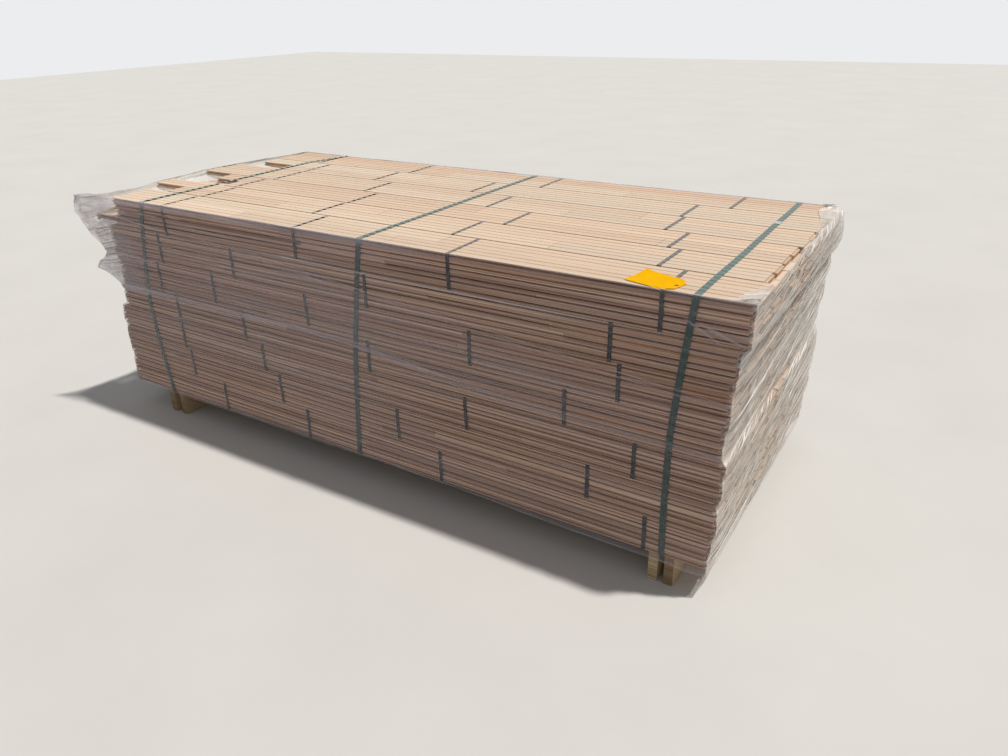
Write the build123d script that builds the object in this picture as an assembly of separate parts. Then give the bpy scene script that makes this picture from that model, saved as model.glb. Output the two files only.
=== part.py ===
from build123d import *
import math
import os
import random

# Unit stack of tongue-and-groove hardwood flooring: seven courses of six tied bundles on two
# pairs of sleepers, held by three straps and a wrap of stretch film.
# Millimetres. X runs along the boards, Y from the front to the back, Z up from the floor.

# One flooring board
board_thickness = 19.05
board_face = 82.55
tongue_length = 6.35
tongue_thickness = 6.0
back_shoulder = 4.8
groove_depth = 6.8
groove_slack = 0.3
relief_width = 8.0
relief_depth = 2.4
relief_spacing = 28.0
board_gap = 0.2

# One bundle, and how the bundles are stacked
boards_across = 2
layers = 6
courses = 7
columns = 6
bundle_length = 2530.0
column_slack = 2.6

# Plastic tie round each bundle
tie_width = 12.7
tie_thickness = 0.6
tie_gap = 0.1

# Strap round the whole stack, with its metal seal
strap_width = 19.0
strap_thickness = 0.9
strap_gap = 0.15
seal_length = 32.0
seal_wall = 0.6
seal_slack = 0.1

# Sleepers under the stack, in pairs with a strap between: the gaps of the left and right pair
sleeper_width = 30.0
sleeper_height = 103.0
sleeper_spacings = (34.0, 20.0)
sleeper_recess = 4.0

# Stretch film round the four sides, hanging a little below the boards
film_thickness = 0.5
film_gap = 0.25
film_hang = 22.0

# Yellow tag with two clipped corners and an eyelet hole
tag_length = 143.0
tag_width = 102.0
tag_clip = 26.0
tag_thickness = 0.5
tag_hole = 7.0
tag_turn = -16.0

# Ends of each course, from the bottom up: how far the longest board stands out past the
# nominal left end, and how far the right end stays short of the nominal right end. One layer
# of the front top bundle stands out past the longest course.
left_reach = (112.0, 115.0, 108.0, 66.0, 54.0, 60.0, 4.0)
right_short = (49.0, 40.0, 33.0, 44.0, 36.0, 27.0, 5.0)
left_jag = 24.0
right_jag = 9.0
proud_layer = 1
proud_layer_extra = 9.5
proud_layer_step = 4.0

# Top layer, from the front board to the back one: how far each board line starts from the
# nominal left end, how far it stays short on the right, and the shares of the bundle length
# at which it is butt-jointed
top_start = (0.0, -8.0, 100.0, -85.0, 225.0, 75.0, -104.0, -90.0, 165.0, -25.0, -30.0, -15.0)
top_short = (5.0, 8.0, 33.0, 30.0, 33.0, 31.0, 18.0, 24.0, 20.0, 28.0, 22.0, 30.0)
top_joints = (
    (0.264, 0.541), (0.599,), (0.274, 0.731), (0.443,), (0.233, 0.838), (0.557,),
    (0.324, 0.672), (0.771,), (0.202, 0.510), (0.357,), (0.374, 0.700), (0.609,),
)

# Tie places as shares of the bundle length: the front bundle of each course from the bottom
# up, the top bundles behind the front one, and all others
front_ties = (
    (0.187, 0.367, 0.609, 0.901),
    (0.120, 0.319, 0.541, 0.826),
    (0.110, 0.291, 0.654, 0.883),
    (0.111, 0.259, 0.500, 0.794),
    (0.080, 0.205, 0.394, 0.664, 0.860),
    (0.096, 0.256, 0.505, 0.848),
    (0.119, 0.388, 0.638, 0.903),
)
top_ties = (
    (0.124, 0.356, 0.596, 0.870),
    (0.116, 0.358, 0.628, 0.854),
    (0.128, 0.327, 0.555, 0.822),
    (0.127, 0.286, 0.480, 0.816),
    (0.094, 0.303, 0.561, 0.860),
)
plain_ties = (0.119, 0.356, 0.613, 0.862)
tie_scatter = 0.036

# Strap routes as shares of the bundle length: at the front foot, half way up the front, at
# the front top edge, where the strap turns on the top, and at the back edge
strap_routes = (
    (0.053, 0.040, 0.073, 0.075, 0.098),
    (0.464, 0.477, 0.503, 0.510, 0.512),
    (0.924, 0.923, 0.939, 0.937, 0.936),
)
strap_turn_from_back = 180.0

# Seals: the one on top measured from the back edge, those on the back from the top edge
seal_from_back = 308.0
seal_from_top = 500.0

# Tag: share of the bundle length, and distance from the front
tag_share = 0.8866
tag_from_front = 78.0

# Worked-out sizes
tongue_low = board_thickness - back_shoulder - tongue_thickness
board_pitch = board_face + tongue_length + board_gap
bundle_width = boards_across * board_pitch - board_gap
layer_pitch = board_thickness + board_gap
course_height = layers * layer_pitch - board_gap
tie_room = tie_gap + tie_thickness
tie_lean = math.degrees(math.asin(tie_gap / tie_width))
course_pitch = course_height + 2 * tie_room + board_gap
column_pitch = bundle_width + 2 * tie_room + column_slack
stack_width = columns * column_pitch - (column_pitch - bundle_width)
stack_foot = sleeper_height + board_gap
stack_top = stack_foot + courses * course_pitch - (course_pitch - course_height)
strap_offset = tie_room + strap_gap
seal_room = seal_slack + seal_wall
last_course = courses - 1
last_column = columns - 1
last_layer = layers - 1
last_line = columns * boards_across - 1


def prism(points, x0, x1):
    """Solid with the given outline across the stack, from x0 to x1 along it."""
    outline = Wire([Edge.make_line(Vector(x0, *a), Vector(x0, *b))
                    for a, b in zip(points, points[1:] + points[:1])])
    return Solid.extrude(Face(outline), Vector(x1 - x0, 0, 0))


def board_outline(y, z, back_up, grooved=True, relieved=False):
    """Section of one board, groove edge to the front and tongue to the back."""
    top = board_thickness
    points = [(0, 0), (board_face, 0)]
    points += [(board_face, tongue_low), (board_face + tongue_length, tongue_low)]
    points += [(board_face + tongue_length, tongue_low + tongue_thickness)]
    points += [(board_face, tongue_low + tongue_thickness), (board_face, top)]
    if relieved:
        for side in (1, -1):
            centre = board_face / 2 + side * relief_spacing / 2
            near, far = centre + relief_width / 2, centre - relief_width / 2
            points += [(near, top), (near, top - relief_depth)]
            points += [(far, top - relief_depth), (far, top)]
    points += [(0, top)]
    if grooved:
        low = tongue_low - groove_slack / 2
        high = low + tongue_thickness + groove_slack
        points += [(0, high), (groove_depth, high), (groove_depth, low), (0, low)]
    if not back_up:
        points = [(a, top - b) for a, b in reversed(points)]
    return [(y + a, z + b) for a, b in points]


def block_outline(y, z, width, height):
    return [(y, z), (y + width, z), (y + width, z + height), (y, z + height)]


def course_foot(course):
    return stack_foot + course * course_pitch


def column_front(column):
    return column * column_pitch - stack_width / 2


def along(share):
    """Place along the stack, from a share of the bundle length."""
    return bundle_length * share


def line_ends(course, line, layer):
    """Left and right end of one line of boards, in a stack of uneven bundles."""
    if course == last_course and layer == last_layer:
        return top_start[line % len(top_start)], bundle_length - top_short[line % len(top_short)]
    draw = random.Random(1000 * course + 50 * line + layer)
    reach = left_reach[course % len(left_reach)]
    left = left_jag * draw.random() - reach
    if course == last_course and layer == proud_layer and line < boards_across:
        left = proud_layer_step * line - max(left_reach) - proud_layer_extra
    right = bundle_length - right_short[course % len(right_short)]
    return left, right - right_jag * draw.random()


def joint_places(course, line, layer):
    """Butt joints in one line of boards."""
    if course == last_course and layer == last_layer:
        return [along(share) for share in top_joints[line % len(top_joints)]]
    draw = random.Random(7 + 1000 * course + 50 * line + layer)
    return [along(draw.uniform(0.2, 0.8))]


def cut_to_length(points, ends, joints):
    """Boards laid end to end with one section."""
    stops = [ends[0], *joints, ends[1]]
    return [prism(points, a + board_gap / 2, b - board_gap / 2) for a, b in zip(stops, stops[1:])]


def bundle(course, column):
    """One bundle: detailed boards where they show, plain ones inside the stack."""
    solids = []
    for layer in range(layers):
        z = course_foot(course) + layer * layer_pitch
        on_top = course == last_course and layer == last_layer
        for across in range(boards_across):
            line = column * boards_across + across
            ends = line_ends(course, line, layer)
            joints = joint_places(course, line, layer)
            y = column_front(column) + across * board_pitch
            if on_top:
                points = board_outline(y, z, back_up=True, relieved=True)
                solids += cut_to_length(points, ends, joints)
            elif line == 0:
                points = board_outline(y, z, back_up=layer % 2 == 1)
                solids += cut_to_length(points, ends, joints)
            elif line == last_line:
                points = board_outline(y, z, back_up=layer % 2 == 1, grooved=False)
                solids.append(prism(points, *ends))
            else:
                points = block_outline(y, z, board_pitch - board_gap, board_thickness)
                solids.append(prism(points, *ends))
    return solids


def tie(course, column, place, lean):
    """Flat plastic band closed round one bundle, leaning a little."""
    y = column_front(column) + bundle_width / 2
    z = course_foot(course) + course_height / 2
    inner = Box(tie_width * 2, bundle_width + 2 * tie_gap, course_height + 2 * tie_gap)
    outer = Box(tie_width, bundle_width + 2 * tie_room, course_height + 2 * tie_room)
    return Pos(place, y, z) * Rot(0, lean, 0) * (outer - inner)


def course_ties(course):
    """Ties on one course: all that show, and two on every second hidden bundle as a seat."""
    draw = random.Random(course)
    solids = []
    for column in range(columns):
        if column == 0:
            shares = front_ties[course % len(front_ties)]
        elif course == last_course:
            shares = top_ties[(column - 1) % len(top_ties)]
        elif column == last_column:
            shift = tie_scatter * draw.uniform(-1, 1)
            shares = [share + shift for share in plain_ties]
        elif course % 2 == 0:
            shares = plain_ties[1:3]
        else:
            shares = ()
        for share in shares:
            lean = tie_lean * draw.uniform(-1, 1)
            solids.append(tie(course, column, along(share), lean).solid())
    return solids


def ribbon(points, normal, thickness):
    """Flat run of strap with four corners, thickened along the normal."""
    return Solid.extrude(Face(Wire.make_polygon([Vector(*p) for p in points])),
                         Vector(*normal) * thickness)


def strap(route):
    """Closed loop over the top, down both sides and under the boards."""
    foot, middle, head, bend, back = (along(share) for share in route)
    half = strap_width / 2
    front_in = -stack_width / 2 - strap_offset
    low_in, high_in = stack_foot - strap_offset, stack_top + strap_offset
    front_out = front_in - strap_thickness
    back_out = -front_out
    low_out, high_out = low_in - strap_thickness, high_in + strap_thickness
    middle_z = (low_out + high_out) / 2
    bend_y = stack_width / 2 - strap_turn_from_back
    top_run = [(head - half, front_out, high_in), (head + half, front_out, high_in),
               (bend + half, bend_y, high_in), (back + half, back_out, high_in),
               (back - half, back_out, high_in), (bend - half, bend_y, high_in)]
    front_run = [(foot - half, front_out, low_out), (foot + half, front_out, low_out),
                 (middle + half, front_out, middle_z), (head + half, front_out, high_out),
                 (head - half, front_out, high_out), (middle - half, front_out, middle_z)]
    back_run = [(foot - half, back_out, low_out), (foot + half, back_out, low_out),
                (back + half, back_out, high_out), (back - half, back_out, high_out)]
    under_run = [(foot - half, front_out, low_out), (foot + half, front_out, low_out),
                 (foot + half, back_out, low_out), (foot - half, back_out, low_out)]
    loop = ribbon(top_run, (0, 0, 1), strap_thickness)
    loop += ribbon(front_run, (0, 1, 0), strap_thickness)
    loop += ribbon(back_run, (0, -1, 0), strap_thickness)
    loop += ribbon(under_run, (0, 0, 1), strap_thickness)
    return loop.clean()


def sleeve():
    """Metal crimp seal folded round a strap that runs along Y and lies flat."""
    inner_width = strap_width + 2 * seal_slack
    inner_height = strap_thickness + 2 * seal_slack
    outer = Box(inner_width + 2 * seal_wall, seal_length, inner_height + 2 * seal_wall)
    return outer - Box(inner_width, seal_length * 2, inner_height)


def top_seal(route):
    """Seal on the top of the stack, turned to follow its strap."""
    head, bend = along(route[2]), along(route[3])
    slope = (bend - head) / (stack_width - strap_turn_from_back)
    x = bend - slope * (seal_from_back - strap_turn_from_back)
    z = stack_top + strap_offset + strap_thickness / 2
    place = Pos(x, stack_width / 2 - seal_from_back, z)
    return place * Rot(0, 0, -math.degrees(math.atan(slope))) * sleeve()


def back_seal(route):
    """Seal on the back of the stack, upright, turned to follow its strap."""
    foot, back = along(route[0]), along(route[-1])
    slope = (back - foot) / (stack_top - stack_foot)
    y = stack_width / 2 + strap_offset + strap_thickness / 2
    z = stack_top - seal_from_top
    place = Pos(back - slope * seal_from_top, y, z)
    return place * Rot(0, math.degrees(math.atan(slope)), 0) * Rot(90, 0, 0) * sleeve()


def sleeper(route, spacing, side):
    """One sleeper running front to back; side is -1 or 1 from the strap foot it flanks."""
    depth = stack_width - 2 * sleeper_recess
    x = along(route[0]) + side * (spacing + sleeper_width) / 2
    return Pos(x, 0, sleeper_height / 2) * Box(sleeper_width, depth, sleeper_height)


def turn(a, b, c):
    return (b[0] - a[0]) * (c[1] - a[1]) - (b[1] - a[1]) * (c[0] - a[0])


def taut_line(points):
    """Of points given as reach and height, those that a tight film touches, going up."""
    kept = []
    for point in sorted(points, key=lambda p: p[1]):
        while len(kept) > 1 and turn(kept[-2], kept[-1], point) <= 0:
            kept.pop()
        kept.append(point)
    return kept


def film_block(left, right, grow):
    """Solid block inside the film, or out to its outer face, grown by the given offset."""
    ring = [(-reach - grow, z) for reach, z in left]
    ring += [(reach + grow, z) for reach, z in reversed(right)]
    front = -stack_width / 2 - strap_offset - strap_thickness - seal_room - grow
    outline = Face(Wire.make_polygon([Vector(x, front, z) for x, z in ring]))
    return Solid.extrude(outline, Vector(0, -2 * front, 0))


def film():
    """Film stretched round the four sides, straight between the boards that stand out."""
    left, right = [], []
    bottom = stack_foot - film_hang
    for course in range(courses):
        for layer in range(layers):
            z = course_foot(course) + layer * layer_pitch
            ends = [line_ends(course, line, layer) for line in range(columns * boards_across)]
            for height in (z, z + board_thickness):
                left.append((-min(end[0] for end in ends), height))
                right.append((max(end[1] for end in ends), height))
    left, right = taut_line(left), taut_line(right)
    left, right = [(left[0][0], bottom), *left], [(right[0][0], bottom), *right]
    outer = film_block(left, right, film_gap + film_thickness)
    return outer - film_block(left, right, film_gap)


def tag():
    """Card tag lying on the front bundles, with two clipped corners and a hole."""
    long, wide = tag_length / 2, tag_width / 2
    outline = [(-long, -wide), (long - tag_clip, -wide), (long, -wide + tag_clip),
               (long, wide - tag_clip), (long - tag_clip, wide), (-long, wide)]
    card = extrude(make_face(Polyline(*outline, close=True)), tag_thickness)
    card -= Pos(long - tag_clip / 2, 0) * Cylinder(tag_hole / 2, tag_thickness * 4)
    y = tag_from_front - stack_width / 2
    return Pos(along(tag_share), y, stack_top + strap_offset) * Rot(0, 0, tag_turn) * card


nodes = {}
for course in range(courses):
    for column in range(columns):
        nodes[f"bundle_course{course + 1}_row{column + 1}"] = bundle(course, column)
    nodes[f"ties_course{course + 1}"] = course_ties(course)
for name, route in zip(("left", "middle", "right"), strap_routes):
    nodes[f"strap_{name}"] = [strap(route).solid()]
seals = [back_seal(route) for route in strap_routes[:-1]] + [top_seal(strap_routes[-1])]
nodes["strap_seals"] = [seal.solid() for seal in seals]
sleeper_pairs = (("left", strap_routes[0], -1), ("right", strap_routes[-1], 1))
for spacing, (name, route, outward) in zip(sleeper_spacings, sleeper_pairs):
    nodes[f"sleeper_{name}_outer"] = [sleeper(route, spacing, outward).solid()]
    nodes[f"sleeper_{name}_inner"] = [sleeper(route, spacing, -outward).solid()]
nodes["stretch_film"] = [film().solid()]
nodes["tag"] = [tag().solid()]

# The origin is on the floor under the middle of the whole stack
everything = Compound([solid for solids in nodes.values() for solid in solids]).bounding_box()
to_origin = Pos(-everything.center().X, -everything.center().Y, 0)

os.makedirs("parts", exist_ok=True)
for name, solids in nodes.items():
    shape = Compound(solids) if len(solids) > 1 else solids[0]
    export_step(to_origin * shape, f"parts/{name}.step")
print(len(nodes), "nodes,", sum(len(solids) for solids in nodes.values()), "solids")
print("overall", everything.size)
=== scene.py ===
# %% [markdown]
# # A strapped stack of hardwood flooring boards
# Forty-two tied bundles of tongue-and-groove strip stand on two pairs of sleepers. Three green
# straps hold them, and clear stretch film is wound round the four sides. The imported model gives
# each board, tie, strap and sleeper its place and size. This lesson gives them their looks.

# %% Load the frame
import math
import random

import bmesh
import bpy
import numpy as np
from mathutils import Matrix, Vector
from mathutils.geometry import tessellate_polygon


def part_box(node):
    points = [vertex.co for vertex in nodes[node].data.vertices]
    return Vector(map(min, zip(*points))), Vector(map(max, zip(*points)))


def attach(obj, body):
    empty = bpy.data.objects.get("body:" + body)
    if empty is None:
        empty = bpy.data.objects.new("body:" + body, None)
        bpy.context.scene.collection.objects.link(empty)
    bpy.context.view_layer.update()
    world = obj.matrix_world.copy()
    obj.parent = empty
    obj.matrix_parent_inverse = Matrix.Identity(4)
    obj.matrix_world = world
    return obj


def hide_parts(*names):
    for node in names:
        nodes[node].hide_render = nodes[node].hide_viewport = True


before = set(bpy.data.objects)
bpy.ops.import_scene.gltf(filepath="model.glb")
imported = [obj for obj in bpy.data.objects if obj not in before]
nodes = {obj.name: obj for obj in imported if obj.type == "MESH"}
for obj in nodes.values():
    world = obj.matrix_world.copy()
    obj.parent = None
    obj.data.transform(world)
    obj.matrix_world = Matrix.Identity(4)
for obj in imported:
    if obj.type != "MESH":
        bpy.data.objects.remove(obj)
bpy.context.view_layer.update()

# %% [markdown]
# ## The camera
# The view was worked out from the straight edges of the stack: a lens of 28.3 mm, held about
# 1.6 m above the ground. A camera can be aimed with a constraint, but three turns say the same
# thing openly: a heading about the upright axis, a tilt down, and a slight roll.

# %% Aim the camera
nominal_length = 2.530
nominal_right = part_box("bundle_course7_row1")[1].x + 0.005
nominal_left = nominal_right - nominal_length
stack_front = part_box("bundle_course7_row1")[0].y
stack_back = -stack_front
stack_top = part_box("bundle_course7_row1")[1].z
camera_from_corner = Vector((2.958, -1.8285, 0.6747))
camera_heading = 32.27
camera_tilt_down = 25.62
camera_roll = -1.265
camera_lens = 28.3

camera = bpy.data.objects.new("camera", bpy.data.cameras.new("camera"))
bpy.context.scene.collection.objects.link(camera)
bpy.context.scene.camera = camera
camera.data.lens = camera_lens
camera.data.sensor_width = 36.0
camera.matrix_world = (
    Matrix.Translation(Vector((nominal_left, stack_front, stack_top)) + camera_from_corner)
    @ Matrix.Rotation(math.radians(camera_heading), 4, "Z")
    @ Matrix.Rotation(math.radians(90 - camera_tilt_down), 4, "X")
    @ Matrix.Rotation(math.radians(camera_roll), 4, "Z")
)
print("camera at", [round(v, 3) for v in camera.matrix_world.translation])

# %% [markdown]
# ## Small helpers for materials
# A procedural material is a graph of nodes. Wiring it by hand takes three lines a node, so one
# short function makes a node, fills its sockets and links what is already a socket. A few more
# stand for the sums that every material needs, so that a recipe reads as one. Colours are
# written as the eye reads them, from 0 to 255, and turned to linear light once.


# %% A colour and a node
def tone(red, green, blue):
    """Linear colour from the 0 to 255 values that a screen shows."""
    shares = [v / 255 for v in (red, green, blue)]
    linear = [v / 12.92 if v <= 0.04045 else ((v + 0.055) / 1.055) ** 2.4 for v in shares]
    return (*linear, 1.0)


def add(tree, kind, inputs=None, **settings):
    """A new shader node. An input is a plain value, or the output socket that feeds it."""
    made = tree.nodes.new("ShaderNode" + kind)
    for name, value in settings.items():
        setattr(made, name, value)
    for name, value in (inputs or {}).items():
        if isinstance(value, bpy.types.NodeSocket):
            tree.links.new(value, made.inputs[name])
        else:
            made.inputs[name].default_value = value
    return made


print("a mid grey on the screen is", round(tone(128, 128, 128)[0], 3), "of full light")


# %% Sums of numbers and of vectors
def maths(tree, how, first, second=0.0, clamp=False):
    made = add(tree, "Math", {0: first, 1: second}, operation=how, use_clamp=clamp)
    return made.outputs[0]


def times(tree, first, second):
    return maths(tree, "MULTIPLY", first, second)


def plus(tree, first, second, clamp=False):
    return maths(tree, "ADD", first, second, clamp)


def larger(tree, first, second):
    return maths(tree, "MAXIMUM", first, second)


def vectors(tree, how, first, second):
    return add(tree, "VectorMath", {0: first, 1: second}, operation=how).outputs[0]


# %% What a material asks of the mesh
def xyz(tree, vector):
    """The three parts of a vector."""
    return add(tree, "SeparateXYZ", {0: vector}).outputs


def object_place(tree):
    return add(tree, "TexCoord").outputs["Object"]


def normal_xyz(tree):
    return xyz(tree, add(tree, "NewGeometry").outputs["Normal"])


def mesh_value(tree, name, socket="Fac"):
    """What the mesh keeps under a name for each of its faces or points."""
    return add(tree, "Attribute", attribute_name=name).outputs[socket]


# %% Mixing colours
def mix(tree, factor, first, second, how="MIX"):
    """Colour mix; factor 0 gives the first colour."""
    made = add(tree, "Mix", {0: factor, 6: first, 7: second}, data_type="RGBA", blend_type=how)
    return made.outputs[2]


def tinted(tree, colour, tint):
    return mix(tree, 1.0, colour, tint, "MULTIPLY")


def channels(tree, red, green, blue):
    return add(tree, "CombineColor", {0: red, 1: green, 2: blue}).outputs[0]


# %% Ramps, noise and bumps
def ramp(tree, factor, low, high, to_low=0.0, to_high=1.0):
    """Straight ramp of a number, clamped at both ends."""
    made = add(tree, "MapRange", {0: factor, 1: low, 2: high, 3: to_low, 4: to_high})
    return made.outputs[0]


def noise(tree, place, scale, detail=3.0, roughness=0.55, distortion=0.0):
    """Noise that is stretched by a scale for each axis, in repeats a metre."""
    stretched = add(tree, "Mapping", {"Vector": place, "Scale": scale}).outputs[0]
    values = {"Vector": stretched, "Scale": 1.0, "Detail": detail, "Roughness": roughness,
              "Distortion": distortion}
    return add(tree, "TexNoise", values).outputs["Fac"]


def bump(tree, height, strength, distance, normal=None):
    inputs = {"Height": height, "Strength": strength, "Distance": distance}
    if normal is not None:
        inputs["Normal"] = normal
    return add(tree, "Bump", inputs).outputs[0]


# %% Start and finish a material
def start_material(name):
    """New material with an empty graph, and the graph itself."""
    material = bpy.data.materials.new(name)
    material.use_nodes = True
    material.node_tree.nodes.clear()
    return material, material.node_tree


def finish_material(tree, inputs):
    """Principled surface wired to the output."""
    surface = add(tree, "BsdfPrincipled", inputs)
    output = add(tree, "OutputMaterial", {"Surface": surface.outputs[0]})
    output.is_active_output = True
    return surface


# %% [markdown]
# ## Wood that is cut from a tree
# A board's figure comes from the rings of the log it was sawn from. A picture laid on the faces
# would not meet at the edges. So the colour is worked out in space instead: each board carries
# the place of its pith, the rings are cylinders about it that wander along the grain, and the
# same rings then show as long flames on the face and as arcs on the end.


# %% Rings about the pith
def late_wood_of(tree, place, moved, ring_spacing):
    """Dark late wood of each ring, from 0 to 1, about a pith that wanders along the board."""
    wander = add(tree, "TexNoise", {"Vector": add(tree, "Mapping", {
        "Vector": moved, "Scale": (1.6, 3.0, 3.0)}).outputs[0], "Scale": 1.0, "Detail": 2.0})
    swing = vectors(tree, "SUBTRACT", wander.outputs["Color"], (0.5, 0.5, 0.5))
    swing = vectors(tree, "MULTIPLY", swing, (0.09, 0.09, 0.09))
    from_pith = vectors(tree, "SUBTRACT", place, mesh_value(tree, "pith", "Vector"))
    from_pith = vectors(tree, "ADD", from_pith, swing)
    across = vectors(tree, "MULTIPLY", from_pith, (0.0, 1.0, 1.0))
    radius = add(tree, "VectorMath", {0: across}, operation="LENGTH").outputs["Value"]
    rings = maths(tree, "FRACT", maths(tree, "DIVIDE", radius, ring_spacing))
    return maths(tree, "POWER", rings, 2.6)


# %% Colour of a planed face
def planed_colour(tree, moved, look, late_wood, fibre, light, dark):
    """Rings, streaks, pores and knots, in the shade and warmth of each board."""
    streak = ramp(tree, noise(tree, moved, (1.1, 60.0, 60.0), 4.0, 0.6, 0.3), 0.3, 0.7)
    pores = ramp(tree, noise(tree, moved, (30.0, 1500.0, 1500.0), 1.0), 0.62, 0.72)
    darker = plus(tree, times(tree, late_wood, 0.35), times(tree, streak, 0.5))
    darker = plus(tree, darker, times(tree, look[0], 0.35))
    darker = maths(tree, "SUBTRACT", darker, 0.22, clamp=True)
    colour = mix(tree, darker, light, dark)
    colour = mix(tree, times(tree, pores, 0.3), colour, dark)
    rosy = ramp(tree, look[0], 0.76, 0.96, 0.0, 0.6)
    colour = mix(tree, rosy, colour, tinted(tree, colour, (0.98, 0.91, 0.89, 1.0)))
    knots = add(tree, "TexVoronoi", {"Vector": add(tree, "Mapping", {
        "Vector": moved, "Scale": (1.0, 2.6, 2.6)}).outputs[0], "Scale": 2.4}).outputs
    knot = ramp(tree, knots["Distance"], 0.016, 0.034, 1.0, 0.0)
    chosen = ramp(tree, xyz(tree, knots["Color"])[0], 0.55, 0.6)
    colour = mix(tree, times(tree, times(tree, knot, chosen), 0.75), colour, tone(134, 84, 58))
    shade = ramp(tree, fibre, 0.2, 0.8, 0.95, 1.04)
    colour = tinted(tree, colour, channels(tree, shade, shade, shade))
    shade = ramp(tree, look[1], 0.0, 1.0, 0.925, 1.05)
    warmth = ramp(tree, look[2], 0.0, 1.0, 0.96, 1.03)
    return tinted(tree, colour, channels(tree, shade, times(tree, shade, warmth), times(
        tree, shade, maths(tree, "POWER", warmth, 1.6))))


# %% Colour of a long edge
def edge_colour(tree, colour, moved, look, edge_tint, rosy_edge):
    """Lines of grain, brown or rosy by turns, and a painted shadow of uneven depth in the groove.
    """
    deep = mesh_value(tree, "deep")
    lines = ramp(tree, noise(tree, moved, (0.8, 40.0, 230.0), 3.0, 0.6), 0.36, 0.64, 0.57, 1.26)
    lines = times(tree, lines, ramp(tree, look[2], 0.0, 1.0, 0.70, 1.22))
    # Painted shade: faces deep in the groove are darkened by an uneven amount, where the groove
    # lies in shadow.
    painted_groove_shadow = ramp(tree, noise(tree, moved, (1.5, 9.0, 9.0), 2.0), 0.36, 0.64, 0.15, 0.85)
    lines = times(tree, lines, ramp(tree, deep, 0.0, 1.0, 1.0, painted_groove_shadow))
    light_lines = ramp(tree, noise(tree, moved, (0.5, 30.0, 330.0), 2.0, 0.6), 0.6, 0.68)
    lines = plus(tree, lines, times(tree, light_lines, 0.3))
    lines = maths(tree, "MINIMUM", lines, 1.5)
    tint = mix(tree, ramp(tree, noise(tree, moved, (0.6, 9.0, 9.0), 2.0), 0.4, 0.6),
               edge_tint, rosy_edge)
    # The painted shade in the groove is tinted a red brown as well.
    tint = mix(tree, deep, tint, (1.1, 0.74, 0.62, 1.0))
    return tinted(tree, tinted(tree, colour, tint), channels(
        tree, lines, maths(tree, "POWER", lines, 1.15), maths(tree, "POWER", lines, 1.2)))


# %% The wood material
# On Y, a long edge turns from a hidden one into an outside one between these two places
outside_from, outside_to = 0.532, 0.534


def wood(name, light, dark, edge_tint, rosy_edge, ring_spacing, rough_sawn=0.0):
    """Wood that reads each board's look and pith from the mesh. Only edges outside are tinted."""
    material, tree = start_material(name)
    place = object_place(tree)
    own_look = mesh_value(tree, "look", "Vector")
    look = xyz(tree, own_look)
    shift = vectors(tree, "MULTIPLY", own_look, (31.0, 17.0, 23.0))
    moved = vectors(tree, "ADD", place, shift)
    late_wood = late_wood_of(tree, place, moved, ring_spacing)
    fibre = noise(tree, moved, (14.0, 650.0, 650.0), 2.0, 0.6)
    colour = planed_colour(tree, moved, look, late_wood, fibre, light, dark)
    sideways = ramp(tree, maths(tree, "ABSOLUTE", normal_xyz(tree)[1]), 0.6, 0.9)
    outside = ramp(tree, maths(tree, "ABSOLUTE", xyz(tree, place)[1]), outside_from, outside_to)
    colour = mix(tree, times(tree, outside, sideways), colour,
                 edge_colour(tree, colour, moved, look, edge_tint, rosy_edge))
    sawn_end = tinted(tree, colour, (0.86, 0.83, 0.81, 1.0))
    colour = mix(tree, mesh_value(tree, "end"), colour, sawn_end)
    grain = plus(tree, times(tree, fibre, 0.6), times(tree, late_wood, -0.4))
    saw_marks = noise(tree, place, (260.0, 4.0, 9.0), 1.0)
    height = plus(tree, grain, times(tree, saw_marks, 3.0 * rough_sawn))
    finish_material(tree, {
        "Base Color": colour,
        "Roughness": ramp(tree, fibre, 0.2, 0.8, 0.72, 0.55),
        "Specular IOR Level": 0.18,
        "Normal": bump(tree, height, 0.3, 0.0005),
    })
    return material


hardwood = wood("planed_hardwood", tone(237, 217, 195), tone(212, 183, 157),
                (1.05, 0.89, 0.82, 1.0), (0.98, 0.85, 0.90, 1.0), 0.0031)
softwood = wood("rough_softwood", tone(226, 205, 168), tone(200, 173, 132),
                (0.95, 0.93, 0.9, 1.0), (0.95, 0.9, 0.9, 1.0), 0.0042, rough_sawn=1.0)
print("wood materials", hardwood.name, softwood.name)

# %% [markdown]
# ## Finding the solids of a node
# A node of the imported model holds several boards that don't touch. Faces that share a corner
# belong to one solid, so spreading the lowest corner number over every triangle until nothing
# changes gives each solid one number. Its box then says where that board lies. Separating the
# loose parts in edit mode would do as well, but it makes hundreds of objects only to measure.


# %% Boxes of the solids in a node
def solid_boxes(node):
    """(low, high) corners of each separate solid in one CAD node, lowest and frontmost first."""
    mesh = nodes[node].data
    mesh.calc_loop_triangles()
    places = np.zeros(len(mesh.vertices) * 3, np.float32)
    corners = np.zeros(len(mesh.loop_triangles) * 3, np.int32)
    mesh.vertices.foreach_get("co", places)
    mesh.loop_triangles.foreach_get("vertices", corners)
    places = places.reshape(-1, 3).astype(float)
    _, merged = np.unique(np.round(places / 2e-5).astype(np.int64), axis=0, return_inverse=True)
    merged = merged.ravel()
    triangles = merged[corners].reshape(-1, 3)
    group = np.arange(merged.max() + 1)
    while True:
        lowest = group[triangles].min(axis=1)
        spread = group.copy()
        for corner in range(3):
            np.minimum.at(spread, triangles[:, corner], lowest)
        spread = spread[spread]
        if (spread == group).all():
            break
        group = spread
    found = []
    for number in np.unique(group[merged]):
        own = places[group[merged] == number]
        found.append((own.min(axis=0), own.max(axis=0)))
    return sorted(found, key=lambda box: (round(box[0][2], 4), round(box[0][1], 4), box[0][0]))


print("solids in the front top bundle:", len(solid_boxes("bundle_course7_row1")))

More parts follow.
